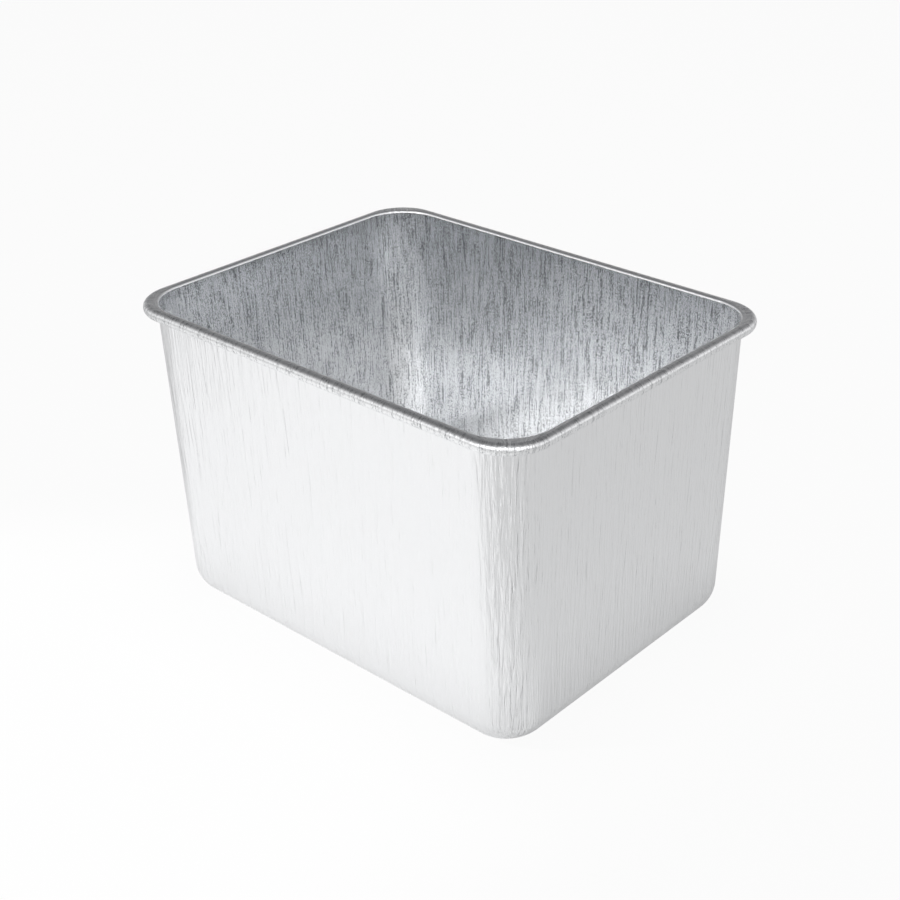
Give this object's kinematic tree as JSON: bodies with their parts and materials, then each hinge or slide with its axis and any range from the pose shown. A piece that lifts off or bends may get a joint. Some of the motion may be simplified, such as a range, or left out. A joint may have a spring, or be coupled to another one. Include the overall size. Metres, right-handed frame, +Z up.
{
  "type": "baking pan",
  "caption": "Deep rectangular bread pan drawn from one bright metal sheet, with slightly leaning walls, round corners and bottom edge, and a wired rolled rim.",
  "frame": {"origin": "middle of the underside, on the surface that the pan stands on", "axes": "+Z up out of the mouth, +X along the long side, +Y across"},
  "size_m": [0.1598, 0.1234, 0.1053],
  "materials": {
    "pan_sheet": "bright rolled sheet with fine upright streaks",
    "wire": "plain drawn steel wire"
  },
  "bodies": {
    "root": {"pan_shell": "pan_sheet", "rim_wire": "wire"}
  },
  "joints": []
}
